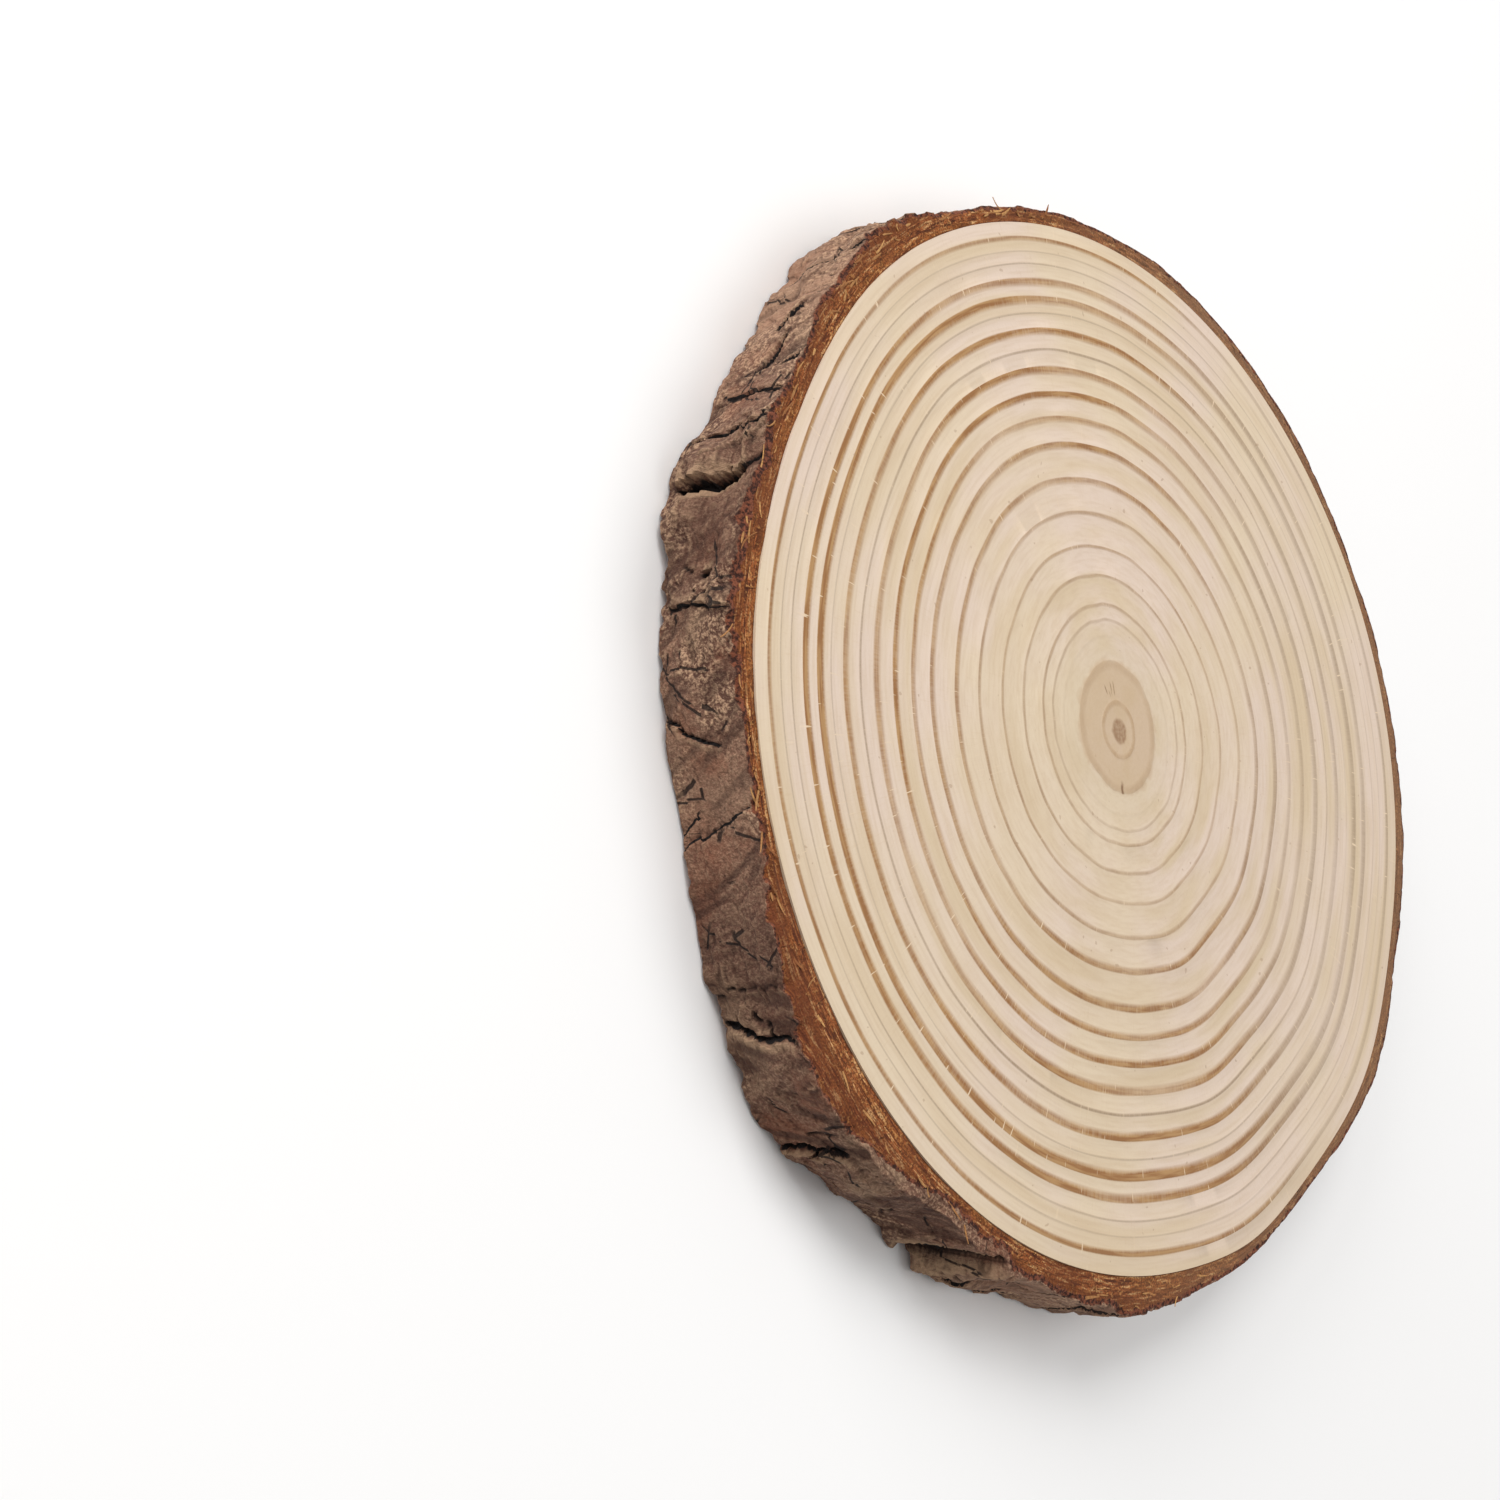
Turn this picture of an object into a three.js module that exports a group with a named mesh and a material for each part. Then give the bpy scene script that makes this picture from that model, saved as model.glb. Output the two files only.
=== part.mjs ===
// A slice sawn across a small softwood log, with its bark on: a disc of wood and the ring of bark
// that grew round it.
//
// The slice lies flat on its back face. +Z is up, out of the front face, and the origin is under the
// middle of the slice, on the surface it lies on. Lengths are in millimetres. A direction is an angle
// in degrees round +Z, counted from +X.

import * as THREE from "three";

// Driving dimensions
const SLICE_THICKNESS = 9.5;
const WOOD_HALF_LENGTH = 60.5; // along X
const WOOD_HALF_WIDTH = 55; // along Y
const BARK_THICKNESS = 2.2;
const BARK_THINNEST = 0.8;
const BARK_SETBACK = 0.15; // how far the bark stops short of each sawn face
const GROWTH_GAP = 0.3; // between the wood and the bark

// Outline: where the log swells or draws in, each a smooth bump `rise` high and `spread` degrees wide
const WOOD_SWELLS = [
  { at: 0, spread: 30, rise: 1.3 },
  { at: 151, spread: 18, rise: -1.0 },
  { at: 190, spread: 50, rise: -0.75 },
  { at: 288, spread: 10, rise: 0.6 },
  { at: 322, spread: 12, rise: 1.3 },
];
const BARK_SWELLS = [
  { at: 27, spread: 5, rise: -0.9 },
  { at: 55, spread: 30, rise: -0.4 },
  { at: 85, spread: 4, rise: -0.9 },
  { at: 101, spread: 14, rise: -0.6 },
  { at: 130, spread: 14, rise: 0.9 },
  { at: 163, spread: 10, rise: 1.6 },
  { at: 188, spread: 7, rise: -1.3 },
  { at: 213, spread: 12, rise: 3.6 },
  { at: 229.5, spread: 3.5, rise: -1.1 },
  { at: 240, spread: 20, rise: 0.5 },
  { at: 262, spread: 6, rise: 1.0 },
  { at: 300, spread: 16, rise: -1.4 },
  { at: 340, spread: 4, rise: -0.9 },
  { at: 347, spread: 3, rise: 0.8 },
];

// Bark relief: scaly plates with cracks between them, some deeper cracks right across the rim, and
// one scale that overlaps its neighbour
const PLATE_LENGTH = 11; // round the rim
const PLATE_HEIGHT = 7.5; // across the rim, along the log
const PLATE_LIFT = 0.75; // how much the plates differ in height
const PLATE_TILT = 0.11; // slope of a plate that stands up at one edge
const CRACK_DEPTH = 0.7;
const CRACK_WIDTH = 1.6;
const RIM_CRACK_DEPTH = 0.9;
const RIM_CRACKS = [
  { foot: 14, head: 10 },
  { foot: 47, head: 52 },
  { foot: 77, head: 73 },
  { foot: 111, head: 116 },
  { foot: 138, head: 136 },
  { foot: 161, head: 158 },
  { foot: 180, head: 186 },
  { foot: 206, head: 209 },
  { foot: 218, head: 222 },
  { foot: 260, head: 257 },
  { foot: 284, head: 288 },
  { foot: 312, head: 309 },
  { foot: 333, head: 337 },
];
const SCALE_EDGE = { foot: 236.5, head: 241.5 };
const SCALE_LENGTH = 14; // round the rim, from its free edge
const SCALE_LIFT = 1.5;
const SCALE_CREVICE_DEPTH = 1.5;
const SCALE_CREVICE_WIDTH = 2.4;
const CHIP_DEPTH = 0.7; // how far the sawn edges of the bark are broken back
const FULL_RELIEF_THICKNESS = 4; // thinner bark has a shallower relief

// Fineness of the solids
const STEPS_ROUND = 280;
const ROWS_ACROSS = 9;
const SEED = 71;

const rad = THREE.MathUtils.degToRad;
const { lerp, smoothstep, seededRandom } = THREE.MathUtils;

function angleBetween(a, b) {
  return ((a - b + 540) % 360) - 180;
}

function swellAt(swells, direction) {
  let rise = 0;
  for (const swell of swells) {
    const away = angleBetween(direction, swell.at) / swell.spread;
    rise += swell.rise * Math.exp(-away * away);
  }
  return rise;
}

function woodRadius(direction) {
  const across = Math.cos(rad(direction)) / WOOD_HALF_LENGTH;
  const along = Math.sin(rad(direction)) / WOOD_HALF_WIDTH;
  return 1 / Math.hypot(across, along) + swellAt(WOOD_SWELLS, direction);
}

// Each plate of bark has a middle, a height of its own and a tilt
function growPlates() {
  const girth = Math.PI * (WOOD_HALF_LENGTH + WOOD_HALF_WIDTH);
  const columns = Math.round(girth / PLATE_LENGTH);
  const rows = Math.ceil(SLICE_THICKNESS / PLATE_HEIGHT);
  seededRandom(SEED);
  const draw = (span) => (seededRandom() - 0.5) * span;
  const plates = [];
  for (let column = 0; column < columns; column++) {
    for (let row = 0; row < rows; row++) {
      plates.push({
        direction: ((column + 0.5 + row / rows + draw(0.8)) * 360) / columns,
        height: ((row + 0.5 + draw(0.7)) * SLICE_THICKNESS) / rows,
        lift: draw(2 * PLATE_LIFT),
        tiltRound: draw(2 * PLATE_TILT),
        tiltUp: draw(2 * PLATE_TILT),
      });
    }
  }
  return plates;
}

const plates = growPlates();

function plateRelief(direction, height) {
  let nearest = null;
  let nearestAway = Infinity;
  let secondAway = Infinity;
  for (const plate of plates) {
    const round = rad(angleBetween(direction, plate.direction)) * WOOD_HALF_LENGTH;
    const up = height - plate.height;
    const away = Math.hypot(round, (up * PLATE_LENGTH) / PLATE_HEIGHT);
    if (away < nearestAway) {
      secondAway = nearestAway;
      nearestAway = away;
      nearest = { plate, round, up };
    } else if (away < secondAway) {
      secondAway = away;
    }
  }
  const { plate, round, up } = nearest;
  const crack = 1 - smoothstep(secondAway - nearestAway, 0, CRACK_WIDTH);
  return plate.lift + plate.tiltRound * round + plate.tiltUp * up - CRACK_DEPTH * crack;
}

// Distance round the rim from a line that runs across it, from `foot` at the back to `head` in front
function pastLine(line, direction, height) {
  const at = lerp(line.foot, line.head, height / SLICE_THICKNESS);
  return rad(angleBetween(direction, at)) * WOOD_HALF_LENGTH;
}

function rimCrackRelief(direction, height) {
  let depth = 0;
  for (const crack of RIM_CRACKS) {
    const away = Math.abs(pastLine(crack, direction, height));
    depth = Math.max(depth, 1 - smoothstep(away, 0, CRACK_WIDTH));
  }
  return -RIM_CRACK_DEPTH * depth;
}

function scaleRelief(direction, height) {
  const past = pastLine(SCALE_EDGE, direction, height);
  const crevice = 1 - smoothstep(Math.abs(past + SCALE_CREVICE_WIDTH / 2), 0, SCALE_CREVICE_WIDTH / 2);
  const scale = past > 0 ? 1 - smoothstep(past, 0, SCALE_LENGTH) : 0;
  return SCALE_LIFT * scale - SCALE_CREVICE_DEPTH * crevice;
}

function barkRadius(direction, height) {
  const base = BARK_THICKNESS + swellAt(BARK_SWELLS, direction);
  const relief =
    plateRelief(direction, height) +
    rimCrackRelief(direction, height) +
    scaleRelief(direction, height);
  const thickness = base + relief * smoothstep(base, BARK_THINNEST, FULL_RELIEF_THICKNESS);
  return woodRadius(direction) + GROWTH_GAP + Math.max(thickness, BARK_THINNEST);
}

function outlinePoint(radius, direction) {
  return new THREE.Vector2(Math.cos(rad(direction)), Math.sin(rad(direction))).multiplyScalar(radius);
}

function buildWood() {
  const outline = [];
  for (let step = 0; step < STEPS_ROUND; step++) {
    const direction = (step * 360) / STEPS_ROUND;
    outline.push(outlinePoint(woodRadius(direction), direction));
  }
  const extrusion = { depth: SLICE_THICKNESS, bevelEnabled: false };
  const geometry = new THREE.ExtrudeGeometry(new THREE.Shape(outline), extrusion);
  const sawnSoftwood = new THREE.MeshStandardMaterial({ color: 0xd6c3aa, roughness: 0.7, metalness: 0 });
  const wood = new THREE.Mesh(geometry, sawnSoftwood);
  wood.name = "wood";
  return wood;
}

// The cross-section of the bark at one direction: up the rim, then down the wall against the wood
function barkSection(direction) {
  const inside = woodRadius(direction) + GROWTH_GAP;
  const lowest = BARK_SETBACK;
  const highest = SLICE_THICKNESS - BARK_SETBACK;
  const chip = () => CHIP_DEPTH * seededRandom();
  const rimLow = lowest + chip();
  const rimHigh = highest - chip();
  const section = [];
  for (let row = 0; row <= ROWS_ACROSS; row++) {
    const height = lerp(rimLow, rimHigh, row / ROWS_ACROSS);
    section.push({ radius: barkRadius(direction, height), height });
  }
  section.push({ radius: inside, height: highest });
  section.push({ radius: inside, height: lowest });
  return section;
}

function buildBark() {
  const positions = [];
  const faces = [];
  for (let step = 0; step < STEPS_ROUND; step++) {
    const direction = (step * 360) / STEPS_ROUND;
    const section = barkSection(direction);
    const around = section.length;
    const here = step * around;
    const next = ((step + 1) % STEPS_ROUND) * around;
    section.forEach(({ radius, height }, corner) => {
      const point = outlinePoint(radius, direction);
      positions.push(point.x, point.y, height);
      const above = (corner + 1) % around;
      faces.push(here + corner, next + corner, next + above);
      faces.push(here + corner, next + above, here + above);
    });
  }
  const geometry = new THREE.BufferGeometry();
  geometry.setAttribute("position", new THREE.Float32BufferAttribute(positions, 3));
  geometry.setIndex(faces);
  geometry.computeVertexNormals();
  const driedBark = new THREE.MeshStandardMaterial({ color: 0x735342, roughness: 0.9, metalness: 0 });
  const bark = new THREE.Mesh(geometry, driedBark);
  bark.name = "bark";
  return bark;
}

// The two pieces share the log's centre line, and the whole slice is then centred over the origin
const slice = new THREE.Group();
slice.add(buildWood(), buildBark());
const middle = new THREE.Box3().setFromObject(slice).getCenter(new THREE.Vector3());
slice.position.set(-middle.x, -middle.y, 0);

export default slice;
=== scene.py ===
import math

import bpy
import numpy as np
from mathutils import Matrix, Vector
from mathutils.bvhtree import BVHTree


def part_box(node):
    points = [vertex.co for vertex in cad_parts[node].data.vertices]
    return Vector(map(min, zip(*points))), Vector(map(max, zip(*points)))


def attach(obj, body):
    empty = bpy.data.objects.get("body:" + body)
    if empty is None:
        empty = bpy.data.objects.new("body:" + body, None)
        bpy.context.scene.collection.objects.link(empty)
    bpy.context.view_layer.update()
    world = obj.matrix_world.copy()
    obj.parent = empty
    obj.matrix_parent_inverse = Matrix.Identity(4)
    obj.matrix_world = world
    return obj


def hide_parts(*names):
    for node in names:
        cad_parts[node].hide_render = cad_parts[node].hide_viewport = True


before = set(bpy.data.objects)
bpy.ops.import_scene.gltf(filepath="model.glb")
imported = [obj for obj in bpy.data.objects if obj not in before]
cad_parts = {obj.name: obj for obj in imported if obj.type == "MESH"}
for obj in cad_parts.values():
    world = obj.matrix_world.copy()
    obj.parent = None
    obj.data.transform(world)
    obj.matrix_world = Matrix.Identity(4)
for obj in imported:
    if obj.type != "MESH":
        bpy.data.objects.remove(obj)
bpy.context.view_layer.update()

MM = 0.001


# View. The slice lies on its back face and the camera looks down on it from the side, turned so that
# the slice's +Y is up in the picture, as in the photograph.
CAMERA_PLACE = Vector((-234.37, -29.24, 152.6)) * MM
CAMERA_AIM = Vector((-62.17, -2.84, 9.5)) * MM
PICTURE_UP = Vector((-0.04, 0.99, 0.13))
LENS_MM = 62.4
SENSOR_MM = 36.0
NEAREST_SEEN = 0.01  # metres from the camera

forward = (CAMERA_AIM - CAMERA_PLACE).normalized()
right = forward.cross(PICTURE_UP).normalized()
up = right.cross(forward)
camera_data = bpy.data.cameras.new("camera")
camera_data.lens = LENS_MM
camera_data.sensor_width = SENSOR_MM
camera_data.clip_start = NEAREST_SEEN
camera = bpy.data.objects.new("camera", camera_data)
camera.matrix_world = Matrix.Translation(CAMERA_PLACE) @ Matrix((right, up, -forward)).transposed().to_4x4()
bpy.context.scene.collection.objects.link(camera)
bpy.context.scene.camera = camera


# Studio. A plain sheet of matt white card under the slice, lit by three large soft boxes: one above the
# picture's upper left, one low on that side for the rim, and one overhead. The room around is white.
FLOOR_SIZE = 6.0  # metres
FLOOR_COLOUR = "#FCFBFA"
CARD_ROUGHNESS = 0.9
ROOM_LIGHT = 0.37
SOFT_BOXES = (
    # name, place in metres, width in metres, power in watts
    ("key", (-0.35, 0.65, 0.75), 0.5, 4.9),
    ("rim_fill", (-0.5, 0.62, 0.22), 0.4, 3.2),
    ("overhead", (0.45, -0.1, 1.1), 0.9, 4.6),
)


def linear(hex_colour):
    """The linear RGBA of an sRGB hex colour."""
    channels = [int(hex_colour[i:i + 2], 16) / 255 for i in (1, 3, 5)]
    return [c / 12.92 if c <= 0.04045 else ((c + 0.055) / 1.055) ** 2.4 for c in channels] + [1.0]


def add_node(material, kind, settings=None, inputs=None):
    """One node with its settings. Its inputs are plain values, hex colours or other nodes' outputs."""
    made = material.node_tree.nodes.new(kind)
    for name, value in (settings or {}).items():
        setattr(made, name, value)
    for name, value in (inputs or {}).items():
        if isinstance(value, bpy.types.NodeSocket):
            material.node_tree.links.new(value, made.inputs[name])
        else:
            made.inputs[name].default_value = linear(value) if isinstance(value, str) else value
    return made


def new_finish(name):
    """A material with nothing in it yet."""
    material = bpy.data.materials.new(name)
    material.use_nodes = True
    material.node_tree.nodes.clear()
    return material


def give_finish(piece, material, surface):
    """Closes the material with its surface's colour, roughness and so on, and puts it on the piece."""
    shader = add_node(material, "ShaderNodeBsdfPrincipled", inputs=surface)
    add_node(material, "ShaderNodeOutputMaterial", inputs={"Surface": shader.outputs["BSDF"]})
    piece.data.materials.append(material)


bpy.ops.object.select_all(action="DESELECT")
bpy.ops.mesh.primitive_plane_add(size=FLOOR_SIZE, location=(0, 0, 0))
floor = bpy.context.object
floor.name = "floor"
# Matt card shows no gloss, only soft shadows
give_finish(floor, new_finish("matt_white_card"), {"Base Color": FLOOR_COLOUR, "Roughness": CARD_ROUGHNESS})

for name, place, width, power in SOFT_BOXES:
    box_data = bpy.data.lights.new(name, "AREA")
    box_data.shape = "SQUARE"
    box_data.size = width
    box_data.energy = power
    soft_box = bpy.data.objects.new(name, box_data)
    soft_box.location = place
    soft_box.rotation_euler = (-Vector(place)).to_track_quat("-Z", "Y").to_euler()
    bpy.context.scene.collection.objects.link(soft_box)

room = bpy.data.worlds.new("white_room")
room.use_nodes = True
room.node_tree.nodes["Background"].inputs["Color"].default_value = (1, 1, 1, 1)
room.node_tree.nodes["Background"].inputs["Strength"].default_value = ROOM_LIGHT
bpy.context.scene.world = room
bpy.context.scene.view_settings.view_transform = "Standard"


# Wood. One disc of pale pine, sawn across the grain and sanded. Each year it grew a wide pale band and
# a narrow dark one, which ends sharply on its outer side; round the pith the wood is darker.
PITH = Vector((-1.47, 1.61)) * MM
MEAN_RADIUS = 57.9  # mm, from the pith to the bark
DRIFT = np.array((-0.9, 1.25))  # mm, how far the middle years lie off centre
ROUND_HEART = 0.35  # share of the radius inside which the rings turn from the outline's shape to a circle
# For each dark band: its outer radius and width in mm, how dark it is, and how grey
YEARS = (
    (3.1, 0.6, 0.66, 0.3), (7.1, 1.0, 0.52, 0.5), (9.8, 0.3, 0.08, 0.9), (11.6, 0.35, 0.36, 0.6),
    (13.3, 0.4, 0.46, 0.4), (16.6, 0.4, 0.50, 0.4), (20.0, 0.4, 0.50, 0.3), (23.8, 0.5, 0.54, 0.3),
    (27.6, 0.8, 0.70, 0.1), (31.6, 0.9, 0.74, 0.1), (34.6, 0.8, 0.72, 0.0), (37.5, 0.9, 0.80, 0.0),
    (40.4, 1.0, 0.78, 0.0), (42.5, 0.3, 0.60, 0.8), (45.0, 0.95, 0.84, 0.0), (46.9, 0.18, 0.34, 1.0),
    (48.9, 1.1, 1.00, 0.0), (51.0, 0.95, 0.90, 0.0), (52.8, 0.18, 0.42, 0.9), (54.3, 0.16, 0.32, 1.0),
    (56.1, 0.6, 0.82, 0.1),
)
# How dark a band is at places counted in band widths from its outer side
BAND_PROFILE = ((-1.05, 0.0), (-0.78, 0.5), (-0.5, 0.92), (-0.2, 1.0), (0.0, 0.97))
OUTER_EDGE = 0.13  # mm over which a dark band ends
HEART_ROWS = (0.35, 0.7, 1.0, 1.3, 1.7, 3.5, 3.9, 4.3, 4.7, 5.1, 5.6, 7.6, 8.4, 10.3)  # mm
WOOD_COLUMNS = 350
FACE_RELIEF = 0.03  # mm, the hard dark bands stand this proud of the sanded face
HEART_EDGE = 6.6  # mm, where the darker heart ends
PITH_EDGE = 1.3  # mm, where the soft pith ends
CRACK_DIRECTION = 268.5  # degrees, of the drying crack under the pith
SCUFF_DIRECTION = 104  # degrees, of the scuffs above it
SEAM = 2e-6  # metres, within which the borders of a rolled-up grid are joined
CREASE = 38  # degrees between faces, above which an edge stays sharp


def flat_grid(name, rows, columns):
    """A flat grid of the given number of vertices, to be rolled up into a piece."""
    bpy.ops.object.select_all(action="DESELECT")
    bpy.ops.mesh.primitive_grid_add(x_subdivisions=columns - 1, y_subdivisions=rows - 1, size=1)
    piece = bpy.context.object
    piece.name = name
    return piece


def rolled_up(piece, places):
    """Puts the grid's vertices at their places, and closes the seams where its borders meet."""
    piece.data.vertices.foreach_set("co", np.ascontiguousarray(places).ravel())
    piece.data.update()
    bpy.ops.object.mode_set(mode="EDIT")
    bpy.ops.mesh.select_all(action="SELECT")
    bpy.ops.mesh.remove_doubles(threshold=SEAM)
    bpy.ops.mesh.normals_make_consistent(inside=False)
    bpy.ops.object.mode_set(mode="OBJECT")
    bpy.ops.object.shade_smooth_by_angle(angle=math.radians(CREASE))


def mark(piece, name, values, kind="FLOAT"):
    """Keeps a quantity at each vertex of the piece, for its material to read."""
    attribute = piece.data.attributes.new(name, kind, "POINT")
    field = "value" if kind == "FLOAT" else "vector"
    attribute.data.foreach_set(field, np.ascontiguousarray(values, dtype=np.float32).ravel())


def lattice_value(cells, seed):
    """A fixed random number from -1 to 1 for each cell, given by whole numbers in the last axis."""
    mixed = (cells * np.array([73856093, 19349663, 83492791]) + seed * 26544357).sum(-1)
    mixed = mixed.astype(np.uint32)
    for turn in (15, 13, 16):
        mixed = (mixed ^ (mixed >> np.uint32(turn))) * np.uint32(2246822519)
    return (mixed >> np.uint32(8)).astype(float) / 2 ** 23 - 1


def noise_at(points, seed, octaves=1):
    """Smooth noise of about -1 to 1 at points given by the last axis, with one unit to a lump."""
    total = np.zeros(points.shape[:-1])
    for octave in range(octaves):
        scaled = points * 2.0 ** octave
        cells = np.floor(scaled).astype(np.int64)
        part = scaled - cells
        part = part ** 3 * (part * (part * 6 - 15) + 10)
        for corner in np.ndindex(2, 2, 2):
            weight = np.prod(np.where(corner, part, 1 - part), axis=-1)
            total += weight * lattice_value(cells + corner, seed + octave * 101) / 2.0 ** octave
    return total


def smooth_step(value, start, stop):
    """0 before the start, 1 past the stop, and a smooth rise between them."""
    part = np.clip((value - start) / (stop - start), 0, 1)
    return part * part * (3 - 2 * part)


def on_cylinder(circle, along):
    """Points for noise that closes on itself round the log: a place on a circle, and one along it."""
    return np.concatenate([circle, np.broadcast_to(along, circle.shape[:-1])[..., None]], axis=-1)


corners = np.array([v.co[:2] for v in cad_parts["wood"].data.vertices]) - np.array(PITH)
corner_angles = np.arctan2(corners[:, 1], corners[:, 0])
order = np.argsort(corner_angles)
edge_angles, edge_radii = corner_angles[order], np.hypot(corners[:, 0], corners[:, 1])[order] / MM
low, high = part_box("wood")
back_z, front_z = low.z / MM, high.z / MM

band_rows = {0.0: (0.0, 0.0), MEAN_RADIUS: (0.0, 0.0)}
for outer, width, dark, greyness in YEARS:
    for along, share in BAND_PROFILE:
        band_rows[outer + along * width] = (share * dark, greyness)
    band_rows[outer + OUTER_EDGE] = (0.0, greyness)
face_radii = np.array(sorted(band_rows))
face_dark, face_grey = np.array([band_rows[radius] for radius in face_radii]).T
front_radii = np.array(sorted({*face_radii, *HEART_ROWS}))
row_radii = np.concatenate([front_radii, front_radii[::-1]])[:, None]
row_z = np.repeat([front_z, back_z], len(front_radii))[:, None]

wood = flat_grid("sawn_wood", len(row_radii), WOOD_COLUMNS + 1)
angle = np.linspace(0, 2 * math.pi, WOOD_COLUMNS + 1)[None, :]
aim = np.stack([np.cos(angle), np.sin(angle)], -1)
share = row_radii / MEAN_RADIUS
aims = np.broadcast_to(aim, (len(row_radii), WOOD_COLUMNS + 1, 2))
year = np.searchsorted([outer + OUTER_EDGE / 2 for outer, *_ in YEARS], row_radii)
tone = noise_at(on_cylinder(aims * 2.4, year * 0.9), 1, 2)
dark = np.interp(row_radii, face_radii, face_dark) * np.clip(1 + 0.35 * tone, 0.55, 1.3)
grey = np.interp(row_radii, face_radii, face_grey) * np.ones_like(tone)
# The dark bands are fainter and greyer on the +X side of the log
faint_side = smooth_step(np.cos(angle) * share, 0.15, 0.7)
dark *= 1.2 - 0.6 * faint_side
grey = np.maximum(grey, 0.85 * faint_side)
edge = np.interp(angle, edge_angles, edge_radii, period=2 * math.pi)
reach = (MEAN_RADIUS + (edge - MEAN_RADIUS) * np.clip(share / ROUND_HEART, 0, 1)) * share
# The rings waver: all together by 0.42 mm, each year by 0.10 mm more, and the heart's and the pith's
# edges by themselves
wobble = 0.42 * noise_at(on_cylinder(aims * 1.7, share * 2.2), 2) * np.sin(math.pi * share) ** 0.8
wobble += 0.10 * noise_at(on_cylinder(aims * 6, year * 0.6), 3) * (share < 0.99) * np.minimum(share * 6, 1)
ragged = 0.25 * noise_at(on_cylinder(aims * 1.6, 0.5), 4) + 0.10 * noise_at(on_cylinder(aims * 7, 0.5), 5)
wobble += ragged * np.exp(-((row_radii - HEART_EDGE) / 2.5) ** 2)
wobble += 0.16 * noise_at(on_cylinder(aims * 3, 1.5), 6) * np.exp(-((row_radii - PITH_EDGE) / 0.6) ** 2)
centre = 4 * share * (1 - share) * np.ones_like(angle)
level = row_z - FACE_RELIEF * (row_z > back_z) * (1 - np.minimum(dark, 1))
xy = (centre[..., None] * DRIFT + aims * (reach + wobble * (share > 0))[..., None]) * MM + np.array(PITH)
# A drying crack under the pith, 6 to 7 mm out, drawn only in colour: it is painted darker as the shade in it.
# The scuffs above it share that darker colour as their own
below = np.abs(angle - math.radians(CRACK_DIRECTION) + 0.01 * np.sin(row_radii * 5)) * row_radii
crack = smooth_step(below, 0.32, 0.10) * smooth_step(row_radii, 5.6, 6.4) * (row_radii < 7.2)
above = np.abs(angle - math.radians(SCUFF_DIRECTION)) < 0.22
scuffs = noise_at(on_cylinder(aims * 26, row_radii * 1.1), 7) * above
crack += 0.8 * smooth_step(scuffs, 0.25, 0.45) * (np.abs(row_radii - 4.3) < 0.7)
wood_marks = {
    "latewood": dark,
    "greyness": grey,
    "years": row_radii * np.ones_like(angle),
    "crack_shade_and_scuffs": crack,
}
for name, values in wood_marks.items():
    mark(wood, name, values)
rolled_up(wood, np.concatenate([xy, level[..., None] * MM], -1).reshape(-1, 3))

# Sanded end grain is cream-coloured and matt. The eye sees the dark bands end sharply, and thin pale
# rays cross them.
PINE_ROUGHNESS = 0.62
PINE_IOR = 1.45
pine = new_finish("sanded_pine_end_grain")
latewood, greyness, years, crack_shade_and_scuffs = (
    add_node(pine, "ShaderNodeAttribute", {"attribute_name": name}).outputs["Fac"] for name in wood_marks
)
wood_place = add_node(pine, "ShaderNodeTexCoord").outputs["Object"]
from_pith = add_node(
    pine, "ShaderNodeVectorMath", {"operation": "SUBTRACT"}, {0: wood_place, 1: (*PITH, 0)}
).outputs["Vector"]
on_face = add_node(
    pine, "ShaderNodeVectorMath", {"operation": "MULTIPLY"}, {0: from_pith, 1: (1, 1, 0)}
).outputs["Vector"]
direction = add_node(pine, "ShaderNodeVectorMath", {"operation": "NORMALIZE"}, {0: on_face}).outputs["Vector"]


def along_rings(per_direction, per_mm):
    """A space where a pattern follows the rings: it repeats this often round the pith and per mm."""
    outwards = add_node(pine, "ShaderNodeMath", {"operation": "MULTIPLY"}, {0: years, 1: per_mm})
    outwards = add_node(pine, "ShaderNodeCombineXYZ", inputs={"Z": outwards.outputs[0]})
    return add_node(
        pine, "ShaderNodeVectorMath", {"operation": "MULTIPLY_ADD"},
        {0: direction, 1: (per_direction, per_direction, 0), 2: outwards.outputs["Vector"]},
    ).outputs["Vector"]


def coated(material, colour, *coats):
    """A colour under coats of others. A coat is how much there is of it and its colour, or else a
    pattern, the values where the coat starts and is full, how much there then is, and its colour."""
    for *amount, coat in coats:
        if len(amount) > 1:
            spread = dict(zip(("Value", "From Min", "From Max", "To Max"), amount))
            spread = add_node(material, "ShaderNodeMapRange", {"interpolation_type": "SMOOTHSTEP"}, spread)
            amount = [spread.outputs["Result"]]
        coat = {"Factor": amount[0], "A": colour, "B": coat}
        colour = add_node(material, "ShaderNodeMix", {"data_type": "RGBA"}, coat).outputs["Result"]
    return colour


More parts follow.
